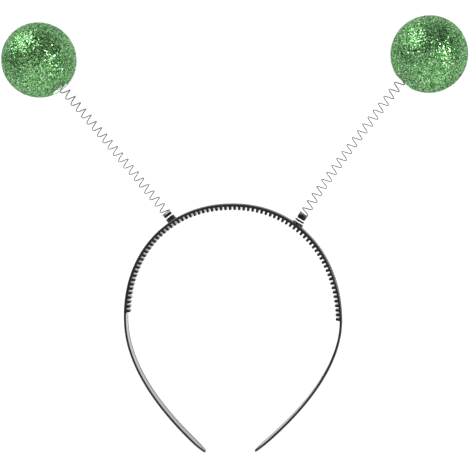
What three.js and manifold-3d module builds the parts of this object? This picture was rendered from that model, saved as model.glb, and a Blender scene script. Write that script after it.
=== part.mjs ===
// Head bopper: a comb headband with two glitter balls on coil springs, lying on its balls and tips.
// Millimetres. X runs from the left bopper to the right one, Y from the tips to the balls, Z up.
import * as THREE from 'three';
import { mergeVertices } from 'three/addons/utils/BufferGeometryUtils.js';
import Module from 'manifold-3d';

const wasm = await Module();
wasm.setup();

// Room left between two pieces that touch.
const clearance = 0.3;

// Headband: its outer edge is a rounded crown over two limbs that curve in to the tips. The comb and the
// pegs are set out from a point that lies partShift to the right of the edge's middle.
const band = {
  partShift: 1.4,
  halfWidth: 63.55,
  crownHeight: 68.0,
  crownFullness: 2.117,
  limbDrop: 78.0,
  tipHalfGap: 15.0,
  tipAngle: 49.4,
  upperHandle: 27.5,
  lowerHandle: 35.0,
  tipDrift: -4.6,
  thickness: 1.4,
  depth: 7.8,
  edgeRound: 0.25,
  steps: 96,
};

// The depth narrows towards each tip.
const tip = {
  taperRise: 5.2,
  endDepth: 2.4,
};

// Comb teeth on the inner edge.
const comb = {
  teeth: 75,
  pitch: 2.73,
  rootWidth: 1.6,
  rootDepth: 6.8,
  tipWidth: 0.9,
  tipDepth: 4.4,
  length: 2.2,
};

// Coil spring wound of round wire. Its first turn rests on the peg's head before the coil rises.
const coil = {
  wire: 0.55,
  outerDiameter: 5.7,
  restTurns: 0.61,
  endTurns: 1.1,
  sides: 5,
  stepsPerTurn: 12,
};

// Peg that the end turns of the spring wind round, in a groove under each of its ribs and under its head.
// Its back is flat, so that the wire can climb past them.
const peg = {
  arcFromCrown: 38.6,
  rootFlare: 0.4,
  rootHeight: 0.6,
  ribDiameter: 5.9,
  ribHeight: 0.6,
  headDiameter: 5.2,
  flatFromAxis: 1.0,
  climbAngle: 100,
  sides: 20,
};

// Glitter ball with a shallow round recess and a socket for the spring's end.
const ball = {
  diameter: 43.8,
  recessDiameter: 10.0,
  recessDepth: 1.3,
  socketDepth: 9.5,
  socketSides: 24,
  sides: 32,
  rings: 14,
};

// The left bopper. Leans are in the band's plane, in degrees out from the middle.
const leftBopper = {
  side: 'left',
  sign: -1,
  // The peg and its own base, ribs and head.
  pegLean: 36.2,
  baseDiameter: 5.7,
  baseHeight: 2.3,
  ribs: 0,
  headHeight: 1.5,
  // The line from the peg's foot to the ball's centre.
  lean: 37.7,
  reach: 121.3,
  // The lines that the spring and the recess run into the ball on. The spring's line passes the ball's
  // centre at a distance, on the side of the middle. The pitch is that of the spring as it is stretched.
  springLean: 38.05,
  springAside: 0.1,
  pitch: 4.77,
  recessLean: 34.0,
};

// The right bopper, with the same sizes to set.
const rightBopper = {
  side: 'right',
  sign: 1,
  pegLean: 33.2,
  baseDiameter: 6.5,
  baseHeight: 1.2,
  ribs: 1,
  headHeight: 2.6,
  lean: 39.7,
  reach: 121.9,
  springLean: 38.9,
  springAside: 3.4,
  pitch: 4.89,
  recessLean: 44.3,
};

const boppers = [leftBopper, rightBopper];

const degree = Math.PI / 180;
const coilRadius = (coil.outerDiameter - coil.wire) / 2;
const ballRadius = ball.diameter / 2;
const pegNeckRadius = coilRadius - coil.wire / 2 - clearance;
const pegGroove = coil.wire + 2 * clearance;
const socketRadius = coil.outerDiameter / 2 + clearance;

// Outer edge of the band, from the left tip over the crown to the right tip.
class BandEdge extends THREE.Curve {
  constructor() {
    super();
    this.arcLengthDivisions = 1200;
    const tipPoint = new THREE.Vector2(band.tipHalfGap, -band.limbDrop);
    const inward = new THREE.Vector2(Math.sin(band.tipAngle * degree), Math.cos(band.tipAngle * degree));
    this.limb = new THREE.CubicBezierCurve(
      new THREE.Vector2(band.halfWidth, 0),
      new THREE.Vector2(band.halfWidth, -band.upperHandle),
      tipPoint.clone().addScaledVector(inward, band.lowerHandle),
      tipPoint,
    );
  }

  getPoint(t, target = new THREE.Vector3()) {
    const side = t < 0.5 ? -1 : 1;
    const fromCrown = Math.abs(2 * t - 1);
    const point = new THREE.Vector2();
    if (fromCrown < 0.5) {
      const angle = fromCrown * Math.PI;
      const power = 2 / band.crownFullness;
      point.set(band.halfWidth * Math.sin(angle) ** power, band.crownHeight * Math.cos(angle) ** power);
    } else {
      this.limb.getPoint(2 * fromCrown - 1, point);
    }
    const drop = Math.min(point.y, 0) / band.limbDrop;
    return target.set(side * point.x + band.tipDrift * drop * drop, point.y, 0);
  }

  // Point on the edge at a distance along it from its middle, with the outward direction there.
  station(arc) {
    const share = 0.5 + arc / this.getLength();
    const point = this.getPointAt(share);
    const tangent = this.getTangentAt(share);
    return { point, outward: new THREE.Vector3(-tangent.y, tangent.x, 0) };
  }
}

const edge = new BandEdge();

function solid(geometry) {
  const bare = geometry.clone();
  bare.deleteAttribute('normal');
  bare.deleteAttribute('uv');
  const merged = mergeVertices(bare, 1e-4);
  const mesh = new wasm.Mesh({
    numProp: 3,
    vertProperties: new Float32Array(merged.attributes.position.array),
    triVerts: new Uint32Array(merged.index.array),
  });
  return new wasm.Manifold(mesh);
}

function geometryOf(manifold) {
  const mesh = manifold.getMesh();
  const geometry = new THREE.BufferGeometry();
  geometry.setAttribute('position', new THREE.BufferAttribute(mesh.vertProperties, 3));
  geometry.setIndex(new THREE.BufferAttribute(mesh.triVerts, 1));
  geometry.computeVertexNormals();
  return geometry;
}

// A frame that stands on the band's edge: X along the edge, Y outward, Z through the band's depth.
function standing({ point, outward }, offset = 0) {
  const along = outward.clone().cross(new THREE.Vector3(0, 0, 1));
  const frame = new THREE.Matrix4().makeBasis(along, outward, new THREE.Vector3(0, 0, 1));
  const seat = point.clone().addScaledVector(outward, offset);
  return frame.setPosition(seat.x, seat.y, band.depth / 2);
}

// A direction in the band's plane that leans away from the middle, to the left or to the right.
function leaningOut(sign, lean) {
  return new THREE.Vector3(sign * Math.sin(lean * degree), Math.cos(lean * degree), 0);
}

// Where a peg stands: its foot on the band's edge, and the direction that it points in.
function pegPlace({ sign, pegLean }) {
  const { point } = edge.station(band.partShift + sign * peg.arcFromCrown);
  return { point, outward: leaningOut(sign, pegLean) };
}

function bandStrip() {
  const outer = [];
  const inner = [];
  for (let i = 0; i <= band.steps; i += 1) {
    const { point, outward } = edge.station((i / band.steps - 0.5) * edge.getLength());
    outer.push(new THREE.Vector2(point.x, point.y));
    inner.push(new THREE.Vector2(point.x, point.y).addScaledVector(outward, -band.thickness));
  }
  const outline = new THREE.Shape([...outer, ...inner.reverse()]);
  const strip = new THREE.ExtrudeGeometry(outline, {
    depth: band.depth - 2 * band.edgeRound,
    bevelThickness: band.edgeRound,
    bevelSize: band.edgeRound,
    bevelOffset: -band.edgeRound,
    bevelSegments: 1,
  });
  strip.translate(0, 0, band.edgeRound);
  return solid(strip).intersect(depthTaper());
}

// Side view of the band: full depth, narrowing to the tips. Wider than the band where it trims nothing.
function depthTaper() {
  const spare = band.depth;
  const middle = band.depth / 2;
  const shoulder = tip.taperRise - band.limbDrop;
  const slope = (middle - tip.endDepth / 2) / tip.taperRise;
  const profile = new THREE.Shape([
    new THREE.Vector2(-band.limbDrop, middle - tip.endDepth / 2),
    new THREE.Vector2(shoulder + spare, -slope * spare),
    new THREE.Vector2(band.crownHeight + spare, -slope * spare),
    new THREE.Vector2(band.crownHeight + spare, band.depth + slope * spare),
    new THREE.Vector2(shoulder + spare, band.depth + slope * spare),
    new THREE.Vector2(-band.limbDrop, middle + tip.endDepth / 2),
  ]);
  const width = 2 * band.halfWidth + 2 * spare;
  const block = new THREE.ExtrudeGeometry(profile, { depth: width, bevelEnabled: false });
  const axes = new THREE.Matrix4().makeBasis(
    new THREE.Vector3(0, 1, 0),
    new THREE.Vector3(0, 0, 1),
    new THREE.Vector3(1, 0, 0),
  );
  block.applyMatrix4(axes);
  block.translate(-width / 2, 0, 0);
  return solid(block);
}

// One comb tooth, hanging inward: four-sided, narrower at its tip than at its root.
function tooth(arc) {
  const sunk = band.thickness / 2;
  const height = comb.length + sunk;
  const shape = new THREE.CylinderGeometry(Math.SQRT1_2, Math.SQRT1_2, height, 4, 1);
  shape.rotateY(45 * degree);
  const position = shape.attributes.position;
  for (let i = 0; i < position.count; i += 1) {
    const atRoot = position.getY(i) > 0;
    position.setX(i, position.getX(i) * (atRoot ? comb.rootWidth : comb.tipWidth));
    position.setZ(i, position.getZ(i) * (atRoot ? comb.rootDepth : comb.tipDepth));
  }
  shape.applyMatrix4(standing(edge.station(arc), sunk - band.thickness - height / 2));
  return solid(shape);
}

// The collars of one peg, from the band up: its ribs and then its head.
function pegCollars({ ribs, headHeight }) {
  const rib = { radius: peg.ribDiameter / 2, thickness: peg.ribHeight };
  const head = { radius: peg.headDiameter / 2, thickness: headHeight };
  return [...Array(ribs).fill(rib), head];
}

function ribbedPeg(bopper) {
  const sunk = band.thickness / 2;
  const baseRadius = bopper.baseDiameter / 2;
  const profile = [
    new THREE.Vector2(0, -sunk),
    new THREE.Vector2(baseRadius + peg.rootFlare, -sunk),
    new THREE.Vector2(baseRadius + peg.rootFlare, 0),
    new THREE.Vector2(baseRadius, peg.rootHeight),
    new THREE.Vector2(baseRadius, bopper.baseHeight),
  ];
  let height = bopper.baseHeight;
  for (const { radius, thickness } of pegCollars(bopper)) {
    profile.push(new THREE.Vector2(pegNeckRadius, height));
    height += pegGroove;
    profile.push(new THREE.Vector2(pegNeckRadius, height), new THREE.Vector2(radius, height));
    height += thickness;
    profile.push(new THREE.Vector2(radius, height));
  }
  profile.push(new THREE.Vector2(0, height));
  const turned = solid(new THREE.LatheGeometry(profile, peg.sides));
  const width = peg.ribDiameter + peg.headDiameter;
  const cut = new THREE.BoxGeometry(width, height, width);
  cut.translate(0, bopper.baseHeight + height / 2, -peg.flatFromAxis - width / 2);
  const flatBacked = turned.subtract(solid(cut));
  return solid(geometryOf(flatBacked).applyMatrix4(standing(pegPlace(bopper))));
}

function headband() {
  let whole = bandStrip();
  for (let i = 0; i < comb.teeth; i += 1) {
    whole = whole.add(tooth(band.partShift + (i - (comb.teeth - 1) / 2) * comb.pitch));
  }
  for (const bopper of boppers) {
    whole = whole.add(ribbedPeg(bopper));
  }
  return geometryOf(whole);
}

// The line of one bopper: the foot of its peg, the peg's direction and its ball's centre.
function bopperLine(bopper) {
  const { point, outward } = pegPlace(bopper);
  const foot = new THREE.Vector3(point.x, point.y, band.depth / 2);
  const centre = foot.clone().addScaledVector(leaningOut(bopper.sign, bopper.lean), bopper.reach);
  return { foot, outward, centre };
}

// The whole part leans back until it rests on its two balls and on the back of its two tips.
function restTilt() {
  const lines = boppers.map(bopperLine);
  const meanY = lines.reduce((sum, line) => sum + line.centre.y, 0) / lines.length;
  const span = meanY - (tip.taperRise - band.limbDrop);
  const middle = band.depth / 2;
  return Math.asin(ballRadius / Math.hypot(span, middle)) - Math.atan2(middle, span);
}

const tilt = restTilt();
const lift = (band.limbDrop - tip.taperRise) * Math.sin(tilt);

// A direction in the band's plane, tilted out of it so that it rises as the line to the ball does.
function rising(sign, lean, slope) {
  return leaningOut(sign, lean).setZ(slope).normalize();
}

// Each ball lies on the same surface, so its centre stands a ball's radius above it.
for (const bopper of boppers) {
  const line = bopperLine(bopper);
  line.centre.z = (ballRadius - lift - line.centre.y * Math.sin(tilt)) / Math.cos(tilt);
  const slope = (line.centre.z - line.foot.z) / bopper.reach;
  const inward = leaningOut(bopper.sign, bopper.springLean - 90);
  line.springDirection = rising(bopper.sign, bopper.springLean, slope);
  line.recessDirection = rising(bopper.sign, bopper.recessLean, slope);
  line.socketEnd = line.centre.clone()
    .addScaledVector(inward, bopper.springAside)
    .addScaledVector(line.springDirection, ball.socketDepth - ballRadius);
  bopper.line = line;
}

// The wire's centre line: a ring in each groove of the peg, a climb behind each rib and the head, a turn at
// rest on the head, the free coil, and a close ring at the bottom of the ball's socket.
class CoilPath extends THREE.Curve {
  constructor(bopper) {
    super();
    this.arcLengthDivisions = 6000;
    const { foot, outward, springDirection, socketEnd } = bopper.line;
    const end = socketEnd.clone().addScaledVector(springDirection, -clearance - coil.wire / 2);
    const third = foot.distanceTo(end) / 3;
    this.axis = new THREE.CubicBezierCurve3(
      foot,
      foot.clone().addScaledVector(outward, third),
      end.clone().addScaledVector(springDirection, -third),
      end,
    );
    this.length = this.axis.getLength();
    this.start = bopper.baseHeight + pegGroove / 2;
    const climb = peg.climbAngle / 360;
    const close = coil.endTurns * (coil.wire + clearance);
    this.stretches = [];
    let free = this.length - this.start - close;
    for (const { thickness } of pegCollars(bopper)) {
      const rise = pegGroove + thickness;
      this.stretches.push({ turns: 1 - climb, rise: 0 }, { turns: climb, rise });
      free -= rise;
    }
    this.stretches.push(
      { turns: coil.restTurns, rise: 0 },
      { turns: free / bopper.pitch, rise: free },
      { turns: coil.endTurns, rise: close },
    );
    this.turns = this.stretches.reduce((sum, stretch) => sum + stretch.turns, 0);
  }

  height(turn) {
    let left = turn;
    let height = this.start;
    for (const { turns, rise } of this.stretches) {
      const part = Math.min(left / turns, 1);
      height += rise * part;
      left -= turns * part;
      if (left <= 0) {
        break;
      }
    }
    return height;
  }

  getPoint(t, target = new THREE.Vector3()) {
    const turn = t * this.turns;
    const share = Math.min(this.height(turn) / this.length, 1);
    const tangent = this.axis.getTangentAt(share);
    const across = new THREE.Vector3(0, 0, 1).cross(tangent).normalize();
    const front = tangent.clone().cross(across);
    const angle = (peg.climbAngle / 2 - 90) * degree + turn * 2 * Math.PI;
    return target.copy(this.axis.getPointAt(share))
      .addScaledVector(across, coilRadius * Math.cos(angle))
      .addScaledVector(front, coilRadius * Math.sin(angle));
  }
}

function spring(bopper) {
  const path = new CoilPath(bopper);
  const section = new THREE.Shape();
  for (let i = 0; i < coil.sides; i += 1) {
    const angle = (i / coil.sides) * 2 * Math.PI;
    const corner = [coil.wire / 2 * Math.cos(angle), coil.wire / 2 * Math.sin(angle)];
    if (i === 0) {
      section.moveTo(...corner);
    } else {
      section.lineTo(...corner);
    }
  }
  return new THREE.ExtrudeGeometry(section, {
    extrudePath: path,
    steps: Math.round(path.turns * coil.stepsPerTurn),
  });
}

// A ball with a shallow round recess, and with the spring's socket bored into it through the recess. Its
// origin is its centre.
function glitterBall({ centre, springDirection, recessDirection, socketEnd }) {
  const up = new THREE.Vector3(0, 1, 0);
  const recessFloor = ball.recessDepth - ballRadius;
  const mouthAngle = Math.asin(ball.recessDiameter / ball.diameter);
  const profile = [
    new THREE.Vector2(0, recessFloor),
    new THREE.Vector2(ball.recessDiameter / 2, recessFloor),
  ];
  for (let i = 0; i < ball.rings; i += 1) {
    const angle = mouthAngle + (Math.PI - mouthAngle) * (i / ball.rings);
    profile.push(new THREE.Vector2(ballRadius * Math.sin(angle), -ballRadius * Math.cos(angle)));
  }
  profile.push(new THREE.Vector2(0, ballRadius));
  const turned = new THREE.LatheGeometry(profile, ball.sides);
  turned.applyQuaternion(new THREE.Quaternion().setFromUnitVectors(up, recessDirection));
  const bore = new THREE.CylinderGeometry(socketRadius, socketRadius, ballRadius, ball.socketSides);
  bore.translate(0, -ballRadius / 2, 0);
  bore.applyQuaternion(new THREE.Quaternion().setFromUnitVectors(up, springDirection));
  bore.translate(socketEnd.x - centre.x, socketEnd.y - centre.y, socketEnd.z - centre.z);
  return geometryOf(solid(turned).subtract(solid(bore)));
}

const finishes = {
  band: { color: 0x0b0b0c, roughness: 0.28, metalness: 0 },
  spring: { color: 0xb9bcc0, roughness: 0.25, metalness: 1 },
  ball: { color: 0x3f9c4c, roughness: 0.4, metalness: 0.7 },
};

function named(name, geometry, finish) {
  const mesh = new THREE.Mesh(geometry, new THREE.MeshStandardMaterial(finish));
  mesh.name = name;
  return mesh;
}

// Everything is placed in the band's own plane, which then leans back to the resting tilt.
const leaning = new THREE.Group();
leaning.rotation.x = tilt;
leaning.add(named('headband', headband(), finishes.band));
for (const bopper of boppers) {
  leaning.add(named(`spring_${bopper.side}`, spring(bopper), finishes.spring));
  const round = named(`ball_${bopper.side}`, glitterBall(bopper.line), finishes.ball);
  round.position.copy(bopper.line.centre);
  leaning.add(round);
}

// The origin is the middle of the footprint, on the surface that the part lies on.
const headBopper = new THREE.Group();
headBopper.add(leaning);
headBopper.updateMatrixWorld(true);
const extent = new THREE.Box3().setFromObject(headBopper, true);
const middle = extent.getCenter(new THREE.Vector3());
leaning.position.set(-middle.x, -middle.y, -extent.min.z);
headBopper.updateMatrixWorld(true);

export default headBopper;
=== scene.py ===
import math

import bmesh
import bpy
import numpy as np
from mathutils import Matrix, Vector


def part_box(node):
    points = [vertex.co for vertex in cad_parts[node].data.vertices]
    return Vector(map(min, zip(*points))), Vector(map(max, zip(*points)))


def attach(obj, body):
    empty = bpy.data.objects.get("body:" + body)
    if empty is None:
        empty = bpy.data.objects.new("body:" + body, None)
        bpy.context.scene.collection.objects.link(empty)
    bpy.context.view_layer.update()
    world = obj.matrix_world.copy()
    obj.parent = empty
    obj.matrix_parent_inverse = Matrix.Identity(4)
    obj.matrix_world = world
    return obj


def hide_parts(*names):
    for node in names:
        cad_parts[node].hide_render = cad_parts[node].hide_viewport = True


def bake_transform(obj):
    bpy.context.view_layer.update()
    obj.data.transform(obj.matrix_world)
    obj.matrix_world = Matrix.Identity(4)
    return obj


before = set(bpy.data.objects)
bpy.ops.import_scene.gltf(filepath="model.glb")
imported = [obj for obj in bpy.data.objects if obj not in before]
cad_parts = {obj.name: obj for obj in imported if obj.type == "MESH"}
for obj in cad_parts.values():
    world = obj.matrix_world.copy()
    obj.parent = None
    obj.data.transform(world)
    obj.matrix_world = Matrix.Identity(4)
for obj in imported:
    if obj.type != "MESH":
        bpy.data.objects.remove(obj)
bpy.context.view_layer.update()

MM = 0.001

# The band's own plane: its origin in the part's frame and how far it leans back. Lengths are in mm.
PLANE_ORIGIN = np.array([-5.293, -49.173, 5.835])
PLANE_TILT = math.radians(4.5974)

# The camera looks at TARGET from above, turned a little to the right and rolled a little.
TARGET = np.array([-2.10, 0.13, 11.66])
CAMERA_DISTANCE = 800.0
CAMERA_YAW = math.radians(6.34)
CAMERA_ROLL = math.radians(1.83)
CAMERA_LENS = 105.65
CAMERA_SENSOR = 36.0

# The headband's outer edge, wall and depth. Its outer face is a little crowned, and its inner face has a
# low rim along both edges. Swell is what the visible band is thicker than the CAD's.
BAND = {
    "part_shift": 1.4, "half_width": 63.55, "crown_height": 68.0, "crown_fullness": 2.117,
    "limb_drop": 78.0, "tip_half_gap": 15.0, "tip_angle": math.radians(49.4),
    "upper_handle": 27.5, "lower_handle": 35.0, "tip_drift": -4.6,
    "thickness": 1.4, "depth": 7.8, "outer_round": 0.7, "inner_round": 0.16,
    "crowning": 0.12, "rim": 0.2, "swell": 0.15,
}
# A point inside the head space, from which the outer face faces away, and that face's added roughness.
HEAD_MIDDLE = (-5.3, -45.0, 6.0)
SATIN_ROUGHNESS = 0.25
TIP = {"taper_rise": 6.6, "end_depth": 2.4, "thin_run": 3.5, "end_thickness": 1.2, "cap": 0.75}
COMB = {
    "teeth": 75, "pitch": 2.73, "root_half": 0.84, "neck_half": 0.78, "length": 2.35, "tip_round": 0.60,
    "root_depth": 3.4, "tip_depth": 2.3, "ease": 0.25, "web": 0.3,
}
# Shares of the inner face's half depth at which its section has points.
INNER_STOPS = (1.0, 0.95, 0.90, 0.85, 0.80, 0.74, 0.68, 0.62, 0.54, 0.36, 0.18)
# Rows of points along the limbs: fine ones near the tips, coarse ones above.
LIMB_ROWS = {"near_end": 10.0, "fine": 0.35, "coarse": 1.3, "cap_steps": 8}
# Wire is the CAD's thickness and drawn the visible one. The turns round the peg are painted pale as a
# highlight, which ends below the peg's top and fades out.
COIL = {
    "wire": 0.55, "drawn": 0.64, "outer": 5.7, "rest_turns": 0.61, "end_turns": 1.1,
    "sides": 10, "steps_per_turn": 36, "turn_ease": 0.05, "highlight_end": 0.1, "highlight_fade": 0.3,
}
PEG = {
    "arc": 38.6, "rib_radius": 2.95, "rib_height": 0.6, "head_radius": 2.6, "flat": 1.0,
    "climb": 100.0 / 360.0, "clearance": 0.3, "edge": 0.12, "fillet": 0.55, "sides": 64,
}
BALL = {
    "cad_radius": 21.9, "ground": 21.5, "ground_points": 9000, "recess_radius": 5.0, "recess_depth": 1.3,
    "socket_depth": 9.5, "rim": 0.35, "recess_rows": 96, "socket_rows": 64, "floor_grid": 0.42,
    "scatter": 0.22,
}
# Square flakes: their distance from the ball's middle is centre, and root is how deep their point lies.
FLAKE = {
    "count": 23600, "corners": 4, "radius": 0.44, "spread": 0.18, "centre": 21.63, "tilt": 0.17,
    "most_tilt": 0.38, "lift": 0.03, "root": 0.5,
}
BOPPERS = {
    "left": {
        "sign": -1, "peg_lean": 36.2, "base_radius": 2.85, "base_height": 2.3, "ribs": 0,
        "head_height": 1.5, "lean": 37.7, "reach": 121.3, "spring_lean": 38.05, "spring_aside": 0.1,
        "pitch": 4.77, "recess_lean": 34.0, "seed": 11,
    },
    "right": {
        "sign": 1, "peg_lean": 33.2, "base_radius": 3.25, "base_height": 1.2, "ribs": 1,
        "head_height": 2.6, "lean": 39.7, "reach": 121.9, "spring_lean": 38.9, "spring_aside": 3.4,
        "pitch": 4.89, "recess_lean": 44.3, "seed": 23,
    },
}
COIL_RADIUS = (COIL["outer"] - COIL["wire"]) / 2
NECK_RADIUS = COIL_RADIUS - COIL["wire"] / 2 - PEG["clearance"]
GROOVE = COIL["wire"] + 2 * PEG["clearance"]
SOCKET_RADIUS = COIL["outer"] / 2 + PEG["clearance"]


def to_frame(points):
    """Points of the band's plane, in mm, as points of the part's frame in metres."""
    c, s = math.cos(PLANE_TILT), math.sin(PLANE_TILT)
    turn = np.array([[1, 0, 0], [0, c, -s], [0, s, c]])
    return (np.asarray(points, float) @ turn.T + PLANE_ORIGIN) * MM


def unit(v):
    v = np.asarray(v, float)
    return v / np.linalg.norm(v, axis=-1, keepdims=True)


def mesh_object(name, vertices, faces, material):
    mesh = bpy.data.meshes.new(name)
    mesh.from_pydata([tuple(v) for v in vertices], [], [tuple(f) for f in faces])
    mesh.validate()
    mesh.materials.append(material)
    obj = bpy.data.objects.new(name, mesh)
    bpy.context.scene.collection.objects.link(obj)
    return obj


def faces_outward(obj):
    bm = bmesh.new()
    bm.from_mesh(obj.data)
    bmesh.ops.recalc_face_normals(bm, faces=bm.faces)
    bm.to_mesh(obj.data)
    bm.free()


def smooth(obj, sharp_angle):
    obj.data.shade_smooth()
    obj.data.set_sharp_from_angle(angle=math.radians(sharp_angle))


# The band's outer edge

def edge_points(t):
    """Points on the outer edge for shares t from the left tip over the crown to the right tip."""
    side = np.where(t < 0.5, -1.0, 1.0)
    from_crown = np.abs(2 * t - 1)
    angle = np.minimum(from_crown, 0.5) * math.pi
    power = 2 / BAND["crown_fullness"]
    crown = np.stack([BAND["half_width"] * np.sin(angle) ** power,
                      BAND["crown_height"] * np.cos(np.minimum(angle, math.pi / 2)) ** power], -1)
    tip = np.array([BAND["tip_half_gap"], -BAND["limb_drop"]])
    inward = np.array([math.sin(BAND["tip_angle"]), math.cos(BAND["tip_angle"])])
    corners = [np.array([BAND["half_width"], 0.0]), np.array([BAND["half_width"], -BAND["upper_handle"]]),
               tip + inward * BAND["lower_handle"], tip]
    limb = bezier(corners, np.clip(2 * from_crown - 1, 0, 1))
    point = np.where((from_crown < 0.5)[:, None], crown, limb)
    drop = np.minimum(point[:, 1], 0) / BAND["limb_drop"]
    return np.stack([side * point[:, 0] + BAND["tip_drift"] * drop * drop, point[:, 1]], -1)


def bezier(corners, t):
    t = np.asarray(t, float)[:, None]
    a, b, c, d = corners
    return a * (1 - t) ** 3 + 3 * b * t * (1 - t) ** 2 + 3 * c * t * t * (1 - t) + d * t ** 3


EDGE_T = np.linspace(0, 1, 12001)
EDGE_POINTS = edge_points(EDGE_T)
EDGE_ARC = np.concatenate([[0], np.cumsum(np.linalg.norm(np.diff(EDGE_POINTS, axis=0), axis=1))])
EDGE_LENGTH = EDGE_ARC[-1]


def station(arc):
    """Points on the outer edge and outward directions, at distances along it from its middle."""
    along = np.asarray(arc, float) + EDGE_LENGTH / 2
    step = 0.05
    def at(d):
        return np.stack([np.interp(d, EDGE_ARC, EDGE_POINTS[:, k]) for k in (0, 1)], -1)
    low = np.clip(along - step, 0, EDGE_LENGTH)
    high = np.clip(along + step, 0, EDGE_LENGTH)
    tangent = unit(at(high) - at(low))
    return at(along), np.stack([-tangent[..., 1], tangent[..., 0]], -1)


def leaning_out(sign, lean):
    lean = math.radians(lean)
    return np.array([sign * math.sin(lean), math.cos(lean), 0.0])


def peg_foot(bopper):
    point, _ = station([BAND["part_shift"] + bopper["sign"] * PEG["arc"]])
    return np.array([point[0, 0], point[0, 1], BAND["depth"] / 2])


# Materials

def material(name):
    made = bpy.data.materials.new(name)
    made.use_nodes = True
    nodes = made.node_tree.nodes
    return made, nodes, made.node_tree.links, nodes["Principled BSDF"]


def object_noise(nodes, links, scale, detail=3.0):
    coordinates = nodes.new("ShaderNodeTexCoord")
    noise = nodes.new("ShaderNodeTexNoise")
    noise.inputs["Scale"].default_value = scale
    noise.inputs["Detail"].default_value = detail
    links.new(coordinates.outputs["Object"], noise.inputs["Vector"])
    return noise


def to_range(nodes, links, value, low, high, from_low=0.0, from_high=1.0):
    spread = nodes.new("ShaderNodeMapRange")
    spread.inputs["From Min"].default_value = from_low
    spread.inputs["From Max"].default_value = from_high
    spread.inputs["To Min"].default_value = low
    spread.inputs["To Max"].default_value = high
    links.new(value, spread.inputs["Value"])
    return spread.outputs["Result"]


def relief(nodes, links, shader, height, strength, distance):
    """Fine bumps on a material. The distance is in metres."""
    bump = nodes.new("ShaderNodeBump")
    bump.inputs["Strength"].default_value = strength
    bump.inputs["Distance"].default_value = distance
    links.new(height, bump.inputs["Height"])
    links.new(bump.outputs["Normal"], shader.inputs["Normal"])


def moulded_plastic():
    """Black plastic, glossy on its inner and front faces and satin on the outer one, finely scuffed."""
    made, nodes, links, shader = material("band_plastic")
    shader.inputs["IOR"].default_value = 1.5
    flow = object_noise(nodes, links, 260.0, 4.0)
    ramp = nodes.new("ShaderNodeValToRGB")
    ramp.color_ramp.elements[0].position = 0.3
    ramp.color_ramp.elements[0].color = (0.003, 0.003, 0.0033, 1)
    ramp.color_ramp.elements[1].position = 0.75
    ramp.color_ramp.elements[1].color = (0.008, 0.008, 0.0085, 1)
    links.new(flow.outputs["Fac"], ramp.inputs["Fac"])
    links.new(ramp.outputs["Color"], shader.inputs["Base Color"])
    coordinates = nodes.new("ShaderNodeTexCoord")
    from_middle = nodes.new("ShaderNodeVectorMath")
    from_middle.operation = "SUBTRACT"
    from_middle.inputs[1].default_value = [c * MM for c in HEAD_MIDDLE]
    links.new(coordinates.outputs["Object"], from_middle.inputs[0])
    away = nodes.new("ShaderNodeVectorMath")
    away.operation = "NORMALIZE"
    links.new(from_middle.outputs["Vector"], away.inputs[0])
    facing = nodes.new("ShaderNodeVectorMath")
    facing.operation = "DOT_PRODUCT"
    links.new(away.outputs["Vector"], facing.inputs[0])
    links.new(coordinates.outputs["Normal"], facing.inputs[1])
    way = facing.outputs["Value"]
    satin = to_range(nodes, links, way, 0.0, 1.0, 0.35, 0.65)
    wear = object_noise(nodes, links, 900.0, 5.0).outputs["Fac"]
    polished = to_range(nodes, links, wear, 0.12, 0.26, 0.35, 0.75)
    roughness = nodes.new("ShaderNodeMath")
    roughness.operation = "MULTIPLY_ADD"
    links.new(satin, roughness.inputs[0])
    roughness.inputs[1].default_value = SATIN_ROUGHNESS
    links.new(polished, roughness.inputs[2])
    links.new(roughness.outputs["Value"], shader.inputs["Roughness"])
    links.new(to_range(nodes, links, way, 1.0, 0.0, -0.6, -0.3), shader.inputs["Coat Weight"])
    links.new(to_range(nodes, links, way, 0.3, 1.0, 0.1, 0.3), shader.inputs["Specular Tint"])
    links.new(to_range(nodes, links, satin, 0.5, 1.0), shader.inputs["Specular IOR Level"])
    links.new(to_range(nodes, links, wear, 0.02, 0.08, 0.35, 0.75), shader.inputs["Coat Roughness"])
    grain = object_noise(nodes, links, 2600.0, 2.0)
    relief(nodes, links, shader, grain.outputs["Fac"], 0.05, 0.00003)
    return made


def spring_wire():
    """Drawn steel wire with fine drawing marks and duller patches, painted pale and less metallic where it
    winds on a peg: a painted highlight.
    """
    made, nodes, links, shader = material("spring_wire")
    # Painted highlight: the turns round the peg get a pale, hardly metallic colour.
    painted_highlight = nodes.new("ShaderNodeAttribute")
    painted_highlight.attribute_name = "end_turn"
    links.new(to_range(nodes, links, painted_highlight.outputs["Fac"], 1.0, 0.15), shader.inputs["Metallic"])
    patches = object_noise(nodes, links, 400.0, 4.0)
    ramp = nodes.new("ShaderNodeValToRGB")
    ramp.color_ramp.elements[0].color = (0.03, 0.03, 0.032, 1)
    ramp.color_ramp.elements[1].color = (0.22, 0.22, 0.23, 1)
    links.new(patches.outputs["Fac"], ramp.inputs["Fac"])
    colour = nodes.new("ShaderNodeMix")
    colour.data_type = "RGBA"
    links.new(painted_highlight.outputs["Fac"], colour.inputs[0])
    links.new(ramp.outputs["Color"], colour.inputs[6])
    colour.inputs[7].default_value = (0.88, 0.88, 0.88, 1)
    links.new(colour.outputs[2], shader.inputs["Base Color"])
    marks = object_noise(nodes, links, 3000.0, 3.0)
    links.new(to_range(nodes, links, marks.outputs["Fac"], 0.16, 0.36), shader.inputs["Roughness"])
    relief(nodes, links, shader, marks.outputs["Fac"], 0.1, 0.00003)
    return made


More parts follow.
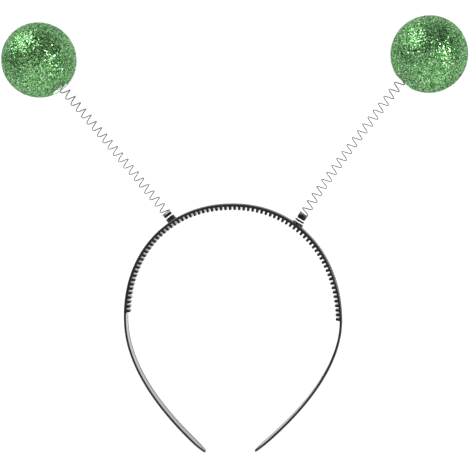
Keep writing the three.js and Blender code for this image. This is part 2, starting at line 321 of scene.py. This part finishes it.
def glitter():
    """Green metallic flakes; each takes its shade, gloss and paleness from the attribute it carries."""
    made, nodes, links, shader = material("glitter_flakes")
    shader.inputs["Metallic"].default_value = 0.95
    own = nodes.new("ShaderNodeAttribute")
    own.attribute_name = "flake"
    split = nodes.new("ShaderNodeSeparateColor")
    links.new(own.outputs["Color"], split.inputs["Color"])
    shade = nodes.new("ShaderNodeValToRGB")
    elements = shade.color_ramp.elements
    elements[0].position = 0.0
    elements[0].color = (0.003, 0.02, 0.004, 1)
    elements[1].position = 1.0
    elements[1].color = (0.72, 0.90, 0.70, 1)
    middle = elements.new(0.5)
    middle.color = (0.080, 0.295, 0.068, 1)
    bright = elements.new(0.92)
    bright.color = (0.30, 0.62, 0.26, 1)
    links.new(split.outputs["Red"], shade.inputs["Fac"])
    hue = nodes.new("ShaderNodeHueSaturation")
    links.new(to_range(nodes, links, split.outputs["Blue"], 0.47, 0.53), hue.inputs["Hue"])
    links.new(shade.outputs["Color"], hue.inputs["Color"])
    links.new(hue.outputs["Color"], shader.inputs["Base Color"])
    links.new(to_range(nodes, links, split.outputs["Green"], 0.12, 0.36), shader.inputs["Roughness"])
    shader.inputs["Coat Weight"].default_value = 0.4
    shader.inputs["Specular Tint"].default_value = (0.5, 0.7, 0.5, 1)
    shader.inputs["Coat Roughness"].default_value = 0.08
    scratches = object_noise(nodes, links, 5200.0, 2.0)
    relief(nodes, links, shader, scratches.outputs["Fac"], 0.15, 0.00003)
    return made


def glitter_ground():
    """The painted foam between the flakes: deep green with specks of finer glitter."""
    made, nodes, links, shader = material("glitter_ground")
    coordinates = nodes.new("ShaderNodeTexCoord")
    cells = nodes.new("ShaderNodeTexVoronoi")
    cells.inputs["Scale"].default_value = 4200.0
    links.new(coordinates.outputs["Object"], cells.inputs["Vector"])
    split = nodes.new("ShaderNodeSeparateColor")
    links.new(cells.outputs["Color"], split.inputs["Color"])
    shade = nodes.new("ShaderNodeValToRGB")
    shade.color_ramp.elements[0].color = (0.003, 0.018, 0.004, 1)
    shade.color_ramp.elements[1].color = (0.03, 0.15, 0.03, 1)
    links.new(split.outputs["Red"], shade.inputs["Fac"])
    links.new(shade.outputs["Color"], shader.inputs["Base Color"])
    links.new(to_range(nodes, links, split.outputs["Green"], 0.2, 1.0), shader.inputs["Metallic"])
    shader.inputs["Roughness"].default_value = 0.45
    relief(nodes, links, shader, cells.outputs["Distance"], 0.6, 0.00012)
    return made


def bare_foam():
    """Pale foam inside the recess, with fine pores and a green cast."""
    made, nodes, links, shader = material("recess_foam")
    pores = object_noise(nodes, links, 1800.0, 4.0)
    ramp = nodes.new("ShaderNodeValToRGB")
    ramp.color_ramp.elements[0].position = 0.3
    ramp.color_ramp.elements[0].color = (0.45, 0.62, 0.42, 1)
    ramp.color_ramp.elements[1].position = 0.6
    ramp.color_ramp.elements[1].color = (0.82, 0.9, 0.8, 1)
    links.new(pores.outputs["Fac"], ramp.inputs["Fac"])
    links.new(ramp.outputs["Color"], shader.inputs["Base Color"])
    shader.inputs["Roughness"].default_value = 0.8
    relief(nodes, links, shader, pores.outputs["Fac"], 0.5, 0.0001)
    return made


def pale_floor():
    """A white light table: half of its brightness comes from below, so it shows hardly a shadow."""
    made, nodes, links, shader = material("floor")
    shader.inputs["Base Color"].default_value = (0.42, 0.42, 0.42, 1)
    shader.inputs["Roughness"].default_value = 0.7
    shader.inputs["Emission Color"].default_value = (1, 1, 1, 1)
    shader.inputs["Emission Strength"].default_value = 0.55
    return made


# Headband

def tooth_stops():
    """From the middle of a tooth to the middle of a gap: distance along the edge, and height."""
    length, tip, neck, root = (COMB[k] for k in ("length", "tip_round", "neck_half", "root_half"))
    arch = COMB["pitch"] / 2 - root
    stops = []
    for k in range(5):
        angle = k / 4 * math.pi / 2
        stops.append((neck * math.sin(angle), length - tip * (1 - math.cos(angle))))
    stops.append(((neck + root) / 2, (length - tip + arch) / 2))
    for k in range(6):
        angle = k / 5 * math.pi / 2
        height = COMB["web"] + (arch - COMB["web"]) * (1 - math.sin(angle))
        stops.append((root + arch * (1 - math.cos(angle)), height))
    return stops


def band_rows():
    """Distances along the edge from its middle, each with the comb's height there."""
    rows = []
    stops = tooth_stops()
    for i in range(COMB["teeth"]):
        middle = BAND["part_shift"] + (i - (COMB["teeth"] - 1) / 2) * COMB["pitch"]
        rows += [(middle - along, height) for along, height in reversed(stops[1:])]
        rows += [(middle + along, height) for along, height in stops[:-1]]
    half = EDGE_LENGTH / 2
    rows.append((rows[-1][0] + 0.1, 0.0))
    near_end, steps = LIMB_ROWS["near_end"], LIMB_ROWS["cap_steps"]
    cap = [TIP["cap"] * (1 - math.cos(k / steps * math.pi / 2)) for k in range(steps)]
    taper = list(np.arange(TIP["cap"], near_end, LIMB_ROWS["fine"]))

    def limb(last):
        plain = list(np.arange(near_end, half - abs(last), LIMB_ROWS["coarse"]))
        return [(half - d, 0.0) for d in cap + taper + plain]

    left = [(-arc, height) for arc, height in limb(rows[0][0])]
    return left + rows + limb(rows[-1][0])[::-1]


def eased_min(a, b, ease):
    return 0.5 * (a + b - math.sqrt((a - b) ** 2 + ease ** 2))


def band_section(half_depth, thickness, height):
    """One closed ring round the band: outward distance from the outer edge, and place through the depth."""
    full = thickness / BAND["thickness"]
    swell = BAND["swell"] * full
    thickness += swell
    outer_round = min(BAND["outer_round"] * full, half_depth * 0.6)
    inner_round = min(BAND["inner_round"] * full, half_depth * 0.3)
    crowning = BAND["crowning"] * full
    rim = BAND["rim"] * full
    outer_half = half_depth - outer_round
    inner_half = half_depth - inner_round
    slope = 2 * crowning * outer_half / half_depth ** 2
    front = []
    # The outer face from its middle to the front, round the front's outer corner, then the inner corner.
    for share in (0.0, 0.3, 0.6, 0.85, 1.0):
        z = outer_half * share
        front.append((-crowning * (z / half_depth) ** 2, z))
    for k in range(1, 6):
        angle = k / 5 * (math.pi / 2 - slope) + slope
        n = front[4][0] - outer_round * (math.cos(slope) - math.cos(angle))
        front.append((n, outer_half + outer_round * (math.sin(angle) - math.sin(slope))))
    reach = front[-1][1]
    for k in range(4):
        angle = k / 4 * math.pi / 2
        n = -thickness + inner_round * (1 - math.sin(angle))
        front.append((n, reach - inner_round * (1 - math.cos(angle))))
    inner_half = min(inner_half, reach - inner_round)
    span = COMB["root_depth"] - COMB["tip_depth"]
    for share in INNER_STOPS:
        z = inner_half * share
        room = COMB["length"] * (COMB["root_depth"] - z) / span
        tooth = max(0.0, eased_min(height, room, COMB["ease"])) if height > 0 else 0.0
        hollow = rim * min(1.0, max(0.0, (0.95 - share) / 0.1)) * (1 - min(1.0, tooth / 0.4))
        front.append((-thickness + hollow - tooth, z))
    back = [(n, -z) for n, z in front[1:]]
    tooth = max(0.0, eased_min(height, 2 * COMB["length"], COMB["ease"])) if height > 0 else 0.0
    middle = (-thickness + rim * (1 - min(1.0, tooth / 0.4)) - tooth, 0.0)
    return [(n + swell, z) for n, z in front + [middle] + back[::-1]]


def band_mesh(finish):
    vertices = []
    rings = []
    half = EDGE_LENGTH / 2
    for arc, height in band_rows():
        point, outward = station([arc])
        point, outward = point[0], outward[0]
        from_end = half - abs(arc)
        rise = min(1.0, max(0.0, (point[1] + BAND["limb_drop"]) / TIP["taper_rise"]))
        widened = math.sin(rise * math.pi / 2)
        half_depth = (TIP["end_depth"] + (BAND["depth"] - TIP["end_depth"]) * widened) / 2
        thickened = math.sin(min(1.0, from_end / TIP["thin_run"]) * math.pi / 2)
        thickness = TIP["end_thickness"] + (BAND["thickness"] - TIP["end_thickness"]) * thickened
        outer_inset = (BAND["thickness"] - thickness) * 0.8
        if from_end < TIP["cap"]:
            round_off = math.sqrt(max(0.03, 1 - (1 - from_end / TIP["cap"]) ** 2))
            outer_inset += thickness * (1 - round_off) / 2
            thickness *= round_off
            half_depth -= TIP["cap"] * (1 - round_off) * 0.8
        ring = []
        for n, z in band_section(half_depth, thickness, height):
            at = point + outward * (n - outer_inset)
            ring.append(len(vertices))
            vertices.append((at[0], at[1], BAND["depth"] / 2 + z))
        rings.append(ring)
    faces = []
    for a, b in zip(rings[:-1], rings[1:]):
        count = len(a)
        faces += [(a[k], a[(k + 1) % count], b[(k + 1) % count], b[k]) for k in range(count)]
    faces.append(tuple(rings[0]))
    faces.append(tuple(reversed(rings[-1])))
    obj = mesh_object("headband_moulding", to_frame(vertices), faces, finish)
    faces_outward(obj)
    return obj


def peg_profile(bopper):
    """Radii and heights of the peg from its sunk root to the top of its head, with eased edges."""
    e = PEG["edge"]
    fillet = PEG["fillet"]
    base, top = bopper["base_radius"], bopper["base_height"]
    sunk = 0.9
    foot = -0.2
    profile = [(0.0, -sunk), (base + fillet, -sunk), (base + fillet, foot)]
    for k in range(1, 6):
        angle = k / 5 * math.pi / 2
        profile.append((base + fillet * (1 - math.sin(angle)), foot + fillet * (1 - math.cos(angle))))
    profile += [(base, top - e), (base - e * 0.3, top - e * 0.3), (base - e, top), (NECK_RADIUS, top)]
    height = top
    collars = [(PEG["rib_radius"], PEG["rib_height"])] * bopper["ribs"]
    collars.append((PEG["head_radius"], bopper["head_height"]))
    for radius, thickness in collars:
        height += GROOVE
        profile += [(NECK_RADIUS, height), (radius - e, height), (radius - e * 0.3, height + e * 0.3),
                    (radius, height + e)]
        height += thickness
        profile += [(radius, height - e), (radius - e * 0.3, height - e * 0.3), (radius - e, height)]
        profile += [(NECK_RADIUS, height)]
    profile.pop()
    profile.append((0.0, height))
    return profile


def peg_mesh(side, finish):
    bopper = BOPPERS[side]
    profile = peg_profile(bopper)
    foot = peg_foot(bopper)
    outward = leaning_out(bopper["sign"], bopper["peg_lean"])
    along = np.cross(outward, [0, 0, 1])
    sides = PEG["sides"]
    vertices = []
    rings = []
    for radius, height in profile:
        ring = []
        for k in range(sides if radius else 1):
            angle = 2 * math.pi * k / sides
            across, front = radius * math.cos(angle), radius * math.sin(angle)
            if height > bopper["base_height"] or (height == bopper["base_height"] and radius == NECK_RADIUS):
                front = max(front, -PEG["flat"])
            ring.append(len(vertices))
            vertices.append(foot + outward * height + along * across + np.array([0, 0, 1.0]) * front)
        rings.append(ring)
    faces = []
    for a, b in zip(rings[:-1], rings[1:]):
        for k in range(sides):
            m = (k + 1) % sides
            quad = [a[k % len(a)], a[m % len(a)], b[m % len(b)], b[k % len(b)]]
            corners = list(dict.fromkeys(quad))
            if len(corners) > 2:
                faces.append(tuple(corners))
    obj = mesh_object(f"peg_{side}", to_frame(vertices), faces, finish)
    faces_outward(obj)
    return obj


def headband(finish):
    """The moulding in one piece: band, comb and pegs."""
    band = band_mesh(finish)
    for side in BOPPERS:
        peg = peg_mesh(side, finish)
        join = band.modifiers.new("join", "BOOLEAN")
        join.operation = "UNION"
        join.solver = "EXACT"
        join.object = peg
        graph = bpy.context.evaluated_depsgraph_get()
        joined = bpy.data.meshes.new_from_object(band.evaluated_get(graph))
        band.modifiers.clear()
        band.data = joined
        bpy.data.objects.remove(peg)
    smooth(band, 38)
    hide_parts("headband")
    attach(band, "band")


# Boppers

def bopper_line(side):
    """The foot, the ball's centre and the lines of spring and recess, in the band's plane."""
    bopper = BOPPERS[side]
    sign = bopper["sign"]
    foot = peg_foot(bopper)
    centre = foot + leaning_out(sign, bopper["lean"]) * bopper["reach"]
    low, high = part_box(f"ball_{side}")
    height = (low.z + high.z) / 2 / MM
    y = centre[1]
    centre[2] = (height - PLANE_ORIGIN[2] - y * math.sin(PLANE_TILT)) / math.cos(PLANE_TILT)
    slope = (centre[2] - foot[2]) / bopper["reach"]
    spring = unit(leaning_out(sign, bopper["spring_lean"]) + np.array([0, 0, slope]))
    recess = unit(leaning_out(sign, bopper["recess_lean"]) + np.array([0, 0, slope]))
    aside = leaning_out(sign, bopper["spring_lean"] - 90) * bopper["spring_aside"]
    socket_end = centre + aside + spring * (BALL["socket_depth"] - BALL["cad_radius"])
    return foot, centre, spring, recess, socket_end


def coil_heights(bopper, length):
    """Turns and rises of each stretch of the wire, from the lowest groove to the socket."""
    stretches = []
    start = bopper["base_height"] + GROOVE / 2
    close = COIL["end_turns"] * (COIL["wire"] + PEG["clearance"])
    free = length - start - close
    collars = [PEG["rib_height"]] * bopper["ribs"] + [bopper["head_height"]]
    for thickness in collars:
        rise = GROOVE + thickness
        stretches += [(1 - PEG["climb"], 0.0), (PEG["climb"], rise)]
        free -= rise
    stretches += [(COIL["rest_turns"], 0.0), (free / bopper["pitch"], free), (COIL["end_turns"], close)]
    return start, stretches


def spring(side, finish):
    bopper = BOPPERS[side]
    foot, centre, direction, _, socket_end = bopper_line(side)
    outward = leaning_out(bopper["sign"], bopper["peg_lean"])
    end = socket_end - direction * (PEG["clearance"] + COIL["wire"] / 2)
    third = np.linalg.norm(end - foot) / 3
    corners = [foot, foot + outward * third, end - direction * third, end]
    axis = bezier(corners, np.linspace(0, 1, 2001))
    arc = np.concatenate([[0], np.cumsum(np.linalg.norm(np.diff(axis, axis=0), axis=1))])
    start, stretches = coil_heights(bopper, arc[-1])
    turns_at = np.concatenate([[0], np.cumsum([t for t, _ in stretches])])
    height_at = start + np.concatenate([[0], np.cumsum([r for _, r in stretches])])
    total = turns_at[-1]
    turn = np.linspace(0, total, int(total * COIL["steps_per_turn"]) + 1)
    spread = np.linspace(-COIL["turn_ease"], COIL["turn_ease"], 9)
    height = np.mean([np.interp(turn + s, turns_at, height_at) for s in spread], axis=0)
    at = np.stack([np.interp(height, arc, axis[:, k]) for k in range(3)], -1)
    ahead = np.stack([np.interp(height + 0.5, arc, axis[:, k]) for k in range(3)], -1)
    behind = np.stack([np.interp(height - 0.5, arc, axis[:, k]) for k in range(3)], -1)
    tangent = unit(ahead - behind)
    across = unit(np.cross([0, 0, 1.0], tangent))
    front = np.cross(tangent, across)
    # The climb from groove to groove is centred on the peg's flat back, a quarter turn away.
    quarter_turn = 0.25
    angle = (PEG["climb"] / 2 - quarter_turn + turn) * 2 * math.pi
    radial = across * np.cos(angle)[:, None] + front * np.sin(angle)[:, None]
    line = at + radial * COIL_RADIUS
    along = unit(np.gradient(line, axis=0))
    normal = unit(radial - along * np.sum(radial * along, axis=1, keepdims=True))
    side_way = np.cross(along, normal)
    sides = COIL["sides"]
    around = 2 * math.pi * np.arange(sides) / sides
    radius = COIL["drawn"] / 2
    rings = (line[:, None] + radius * (normal[:, None] * np.cos(around)[None, :, None]
                                       + side_way[:, None] * np.sin(around)[None, :, None]))
    vertices = rings.reshape(-1, 3)
    faces = []
    for i in range(len(line) - 1):
        a, b = i * sides, (i + 1) * sides
        faces += [(a + k, a + (k + 1) % sides, b + (k + 1) % sides, b + k) for k in range(sides)]
    last = (len(line) - 1) * sides
    faces.append(tuple(reversed(range(sides))))
    faces.append(tuple(range(last, last + sides)))
    obj = mesh_object(f"spring_wire_{side}", to_frame(vertices), faces, finish)
    faces_outward(obj)
    smooth(obj, 50)
    # The painted highlight covers the turns round the peg and fades out just below the peg's top.
    peg_top = start + sum(r for _, r in stretches[:-3])
    on_peg = np.clip((peg_top - COIL["highlight_end"] - height) / COIL["highlight_fade"], 0, 1)
    highlight_share = obj.data.attributes.new("end_turn", "FLOAT", "POINT")
    highlight_share.data.foreach_set("value", np.repeat(on_peg, sides))
    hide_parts(f"spring_{side}")
    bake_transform(obj)


def ball_directions(count, seed, clear_angle):
    """Points spread over the unit sphere around +Z as the recess axis, none within clear_angle of it."""
    random = np.random.default_rng(seed)
    k = np.arange(count) + 0.5
    z = 1 - 2 * k / count
    turn = math.pi * (3 - math.sqrt(5)) * k
    flat = np.sqrt(1 - z * z)
    points = np.stack([flat * np.cos(turn), flat * np.sin(turn), z], -1)
    spacing = math.sqrt(4 * math.pi / count)
    points = unit(points + random.normal(0, spacing * BALL["scatter"], points.shape))
    return points[points[:, 2] < math.cos(clear_angle)]


def ring_points(x, y, radius, count, phase=0.0):
    angle = 2 * math.pi * (np.arange(count) + phase) / count
    return np.stack([x + radius * np.cos(angle), y + radius * np.sin(angle)], -1)


def glitter_ball(side, flakes, ground, foam):
    """A closed ball with its recess and the spring's socket, and flakes laid all over it."""
    bopper = BOPPERS[side]
    _, centre, spring_way, recess_way, socket_end = bopper_line(side)
    radius = BALL["ground"]
    random = np.random.default_rng(bopper["seed"] + 100)
    # A frame round the recess axis: the third axis points out of the recess.
    out = -recess_way
    first = unit(np.cross([0, 0, 1.0], out))
    basis = np.stack([first, np.cross(out, first), out])
    mouth = BALL["recess_radius"]
    rim = mouth + BALL["rim"]
    outer = ball_directions(BALL["ground_points"], bopper["seed"], math.asin((rim + 0.2) / radius))
    outer_place = outer * (radius + np.clip(random.normal(0, 0.03, len(outer)), -0.08, 0.05))[:, None]
    floor_z = BALL["cad_radius"] - BALL["recess_depth"]
    # The socket's mouth in the recess's floor.
    local_end = basis @ (socket_end - centre)
    local_way = basis @ (-spring_way)
    hx, hy = (local_end + local_way * (floor_z - local_end[2]) / local_way[2])[:2]
    slide = local_way / local_way[2]
    plane, place, inside = [], [], []

    def add(points, places, foam_side):
        plane.append(points)
        place.append(places)
        inside.append(np.full(len(points), foam_side))

    def level(points, z):
        return np.column_stack([points, np.zeros(len(points)) + z])

    def on_ball(points):
        return np.column_stack([points, np.sqrt(radius ** 2 - np.sum(points ** 2, 1))])

    rows = BALL["recess_rows"]
    ring = ring_points(0, 0, rim, rows)
    add(ring, on_ball(ring), False)
    ring = ring_points(0, 0, mouth + 0.12, rows, 0.5)
    add(ring, on_ball(ring) - [0, 0, 0.04], False)
    lip = math.sqrt(radius ** 2 - mouth ** 2)
    # The top of the recess's wall, down to about half a millimetre, takes the dark green ground material and
    # draws a dark line along the lip; the rest of the wall is bare foam.
    wall = ((0.0, mouth, lip - 0.14, False),
            (0.05, mouth - 0.01, lip - 0.42, False),
            (0.10, mouth - 0.03, lip - 0.52, True),
            (0.20, mouth - 0.06, floor_z + 0.10, True),
            (0.30, mouth - 0.16, floor_z, True))
    for inset, real, z, bare in wall:
        ring = ring_points(0, 0, mouth - inset, rows)
        add(ring, level(ring * real / (mouth - inset), z), bare)
    # Floor between the recess's wall and the socket's mouth.
    grid = np.arange(-mouth, mouth, BALL["floor_grid"])
    gx, gy = np.meshgrid(grid, grid)
    spots = np.column_stack([gx.ravel(), gy.ravel()]) + random.uniform(-0.12, 0.12, (gx.size, 2))
    keep = (np.hypot(spots[:, 0], spots[:, 1]) < mouth - 0.5) & (
        np.hypot(spots[:, 0] - hx, spots[:, 1] - hy) > SOCKET_RADIUS + 0.25)
    spots = spots[keep]
    add(spots, level(spots, floor_z + random.uniform(-0.04, 0.04, len(spots))), True)
    # The slanted socket: each smaller ring in the plan lies deeper in the bore.
    deep = BALL["socket_depth"] - BALL["recess_depth"]
    sides = BALL["socket_rows"]
    real = ring_points(hx, hy, SOCKET_RADIUS, sides)
    for share in np.linspace(0, 1, 12):
        bore = level(real, floor_z) - slide * deep * share
        add(ring_points(hx, hy, SOCKET_RADIUS - share * 1.6, sides), bore, True)
    for plan in (1.0, 0.5):
        real = ring_points(hx, hy, plan * 2, 32)
        add(ring_points(hx, hy, plan, 32), level(real, floor_z) - slide * deep, True)
    plane, place, inside = np.concatenate(plane), np.concatenate(place), np.concatenate(inside)
    plan_directions = unit(np.column_stack([plane, np.sqrt(radius ** 2 - np.sum(plane ** 2, 1))]))
    directions = np.concatenate([outer, plan_directions])
    places = np.concatenate([outer_place, place])
    foam_point = np.concatenate([np.zeros(len(outer), bool), inside.astype(bool)])
    skin = hull_faces(directions)
    clear_angle = math.asin((rim + 0.1) / radius)
    plates, plate_faces, plate_values = lay_flakes(random, bopper["seed"] + 7, clear_angle)
    corners = np.concatenate([places, plates])
    faces = [tuple(f) for f in skin] + [tuple(i + len(places) for i in f) for f in plate_faces]
    obj = mesh_object(f"glitter_{side}", to_frame(corners @ basis + centre), faces, ground)
    obj.data.materials.append(foam)
    obj.data.materials.append(flakes)
    slot = np.full(len(faces), 2, np.int32)
    in_recess = foam_point[skin].sum(1) >= 2
    slot[:len(skin)] = in_recess
    obj.data.polygons.foreach_set("material_index", slot)
    obj.data.polygons.foreach_set("use_smooth", slot == 1)
    own = obj.data.attributes.new("flake", "FLOAT_COLOR", "POINT")
    values = np.zeros((len(corners), 4), np.float32)
    values[len(places):] = np.repeat(plate_values, FLAKE["corners"] + 1, axis=0)
    own.data.foreach_set("color", values.ravel())
    obj.data.update()
    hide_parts(f"ball_{side}")
    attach(obj, f"bopper_{side}")


def lay_flakes(random, seed, clear_angle):
    """Square plates round a ball, each tilted a little and drawn to a point under the skin.

    Gives the corners, five to a plate, the faces, five to a plate, and four numbers for each plate.
    """
    way = ball_directions(FLAKE["count"], seed, clear_angle)
    count = len(way)
    helper = np.where(np.abs(way[:, 2:]) < 0.9, [[0, 0, 1.0]], [[1.0, 0, 0]])
    u = unit(np.cross(helper, way))
    v = np.cross(way, u)
    lean = np.clip(random.normal(0, FLAKE["tilt"], (count, 2)), -FLAKE["most_tilt"], FLAKE["most_tilt"])
    normal = unit(way + u * lean[:, :1] + v * lean[:, 1:])
    u = unit(np.cross(normal, np.cross(helper, normal)))
    v = np.cross(normal, u)
    middle = way * (FLAKE["centre"] + random.uniform(-FLAKE["lift"], FLAKE["lift"], count))[:, None]
    size = FLAKE["radius"] * (1 + random.uniform(-FLAKE["spread"], FLAKE["spread"], count))
    around = FLAKE["corners"]
    turn = (random.uniform(0, 1, count)[:, None] + np.arange(around)) * 2 * math.pi / around
    rim = (middle[:, None] + size[:, None, None] * (u[:, None] * np.cos(turn)[..., None]
                                                    + v[:, None] * np.sin(turn)[..., None]))
    point = (middle - way * FLAKE["root"])[:, None]
    corners = np.concatenate([rim, point], axis=1).reshape(-1, 3)
    faces = []
    for i in range(0, (around + 1) * count, around + 1):
        faces.append(tuple(range(i, i + around)))
        faces += [(i + (k + 1) % around, i + k, i + around) for k in range(around)]
    values = np.column_stack([random.uniform(0, 1, (count, 3)), np.ones(count)])
    return corners, faces, values


def hull_faces(directions):
    """Outward triangles that join points on a sphere: the faces of their convex hull."""
    bm = bmesh.new()
    order = {bm.verts.new(d): i for i, d in enumerate(directions)}
    bmesh.ops.convex_hull(bm, input=bm.verts)
    faces = np.array([[order[v] for v in f.verts] for f in bm.faces])
    bm.free()
    a, b, c = (directions[faces[:, k]] for k in range(3))
    inward = np.sum(np.cross(b - a, c - a) * (a + b + c), 1) < 0
    faces[inward] = faces[inward][:, ::-1]
    return faces


# Stage

def stage():
    corners = [(-6, -6, 0), (6, -6, 0), (6, 6, 0), (-6, 6, 0)]
    floor = mesh_object("floor", corners, [(0, 1, 2, 3)], pale_floor())
    studio_world()
    soft_light("soft_box", (-0.64, 0.88, 0.57), 0.75, 8.5)
    soft_light("lamp", (0.84, 0.04, 0.72), 0.25, 4.6)
    overhead = soft_light("overhead", (0.0, 0.0, 1.15), 1.5, 15.0)
    # It lights the floor and the foam, and the shiny pieces don't mirror it.
    overhead.visible_glossy = False


def studio_world():
    """Light all round: bright towards the picture's lower edge, dim overhead and towards the top."""
    world = bpy.data.worlds.new("studio")
    world.use_nodes = True
    nodes, links = world.node_tree.nodes, world.node_tree.links
    coordinates = nodes.new("ShaderNodeTexCoord")
    towards = nodes.new("ShaderNodeVectorMath")
    towards.operation = "DOT_PRODUCT"
    towards.inputs[1].default_value = (0.0, -0.98, 0.20)
    links.new(coordinates.outputs["Generated"], towards.inputs[0])
    ramp = nodes.new("ShaderNodeValToRGB")
    ramp.color_ramp.interpolation = "EASE"
    ramp.color_ramp.elements[0].position = 0.12
    ramp.color_ramp.elements[0].color = (0.19, 0.19, 0.19, 1)
    ramp.color_ramp.elements[1].position = 0.78
    ramp.color_ramp.elements[1].color = (1, 1, 1, 1)
    links.new(towards.outputs["Value"], ramp.inputs["Fac"])
    background = nodes["Background"]
    links.new(ramp.outputs["Color"], background.inputs["Color"])
    background.inputs["Strength"].default_value = 1.4
    bpy.context.scene.world = world


def soft_light(name, place, size, power):
    lamp = bpy.data.lights.new(name, "AREA")
    lamp.shape = "SQUARE"
    lamp.size = size
    lamp.energy = power
    obj = bpy.data.objects.new(name, lamp)
    obj.location = place
    obj.rotation_euler = (Vector((0, 0.02, 0.02)) - obj.location).to_track_quat("-Z", "Y").to_euler()
    bpy.context.scene.collection.objects.link(obj)
    return obj


def camera():
    back = np.array([math.sin(CAMERA_YAW), 0, math.cos(CAMERA_YAW)])
    level_right = np.array([math.cos(CAMERA_YAW), 0, -math.sin(CAMERA_YAW)])
    c, s = math.cos(CAMERA_ROLL), math.sin(CAMERA_ROLL)
    right = level_right * c - np.array([0, 1, 0]) * s
    up = np.array([0, 1, 0]) * c + level_right * s
    place = (TARGET + back * CAMERA_DISTANCE) * MM
    lens = bpy.data.cameras.new("camera")
    lens.lens = CAMERA_LENS
    lens.sensor_width = CAMERA_SENSOR
    lens.clip_start = 0.01
    obj = bpy.data.objects.new("camera", lens)
    turn = Matrix(np.stack([right, up, back]).T.tolist()).to_4x4()
    obj.matrix_world = Matrix.Translation(place) @ turn
    bpy.context.scene.collection.objects.link(obj)
    bpy.context.scene.camera = obj


bpy.context.scene.view_settings.view_transform = "Standard"
camera()
stage()
headband(moulded_plastic())
WIRE = spring_wire()
FLAKES = glitter()
GROUND = glitter_ground()
FOAM = bare_foam()
for name in BOPPERS:
    spring(name, WIRE)
    glitter_ball(name, FLAKES, GROUND, FOAM)
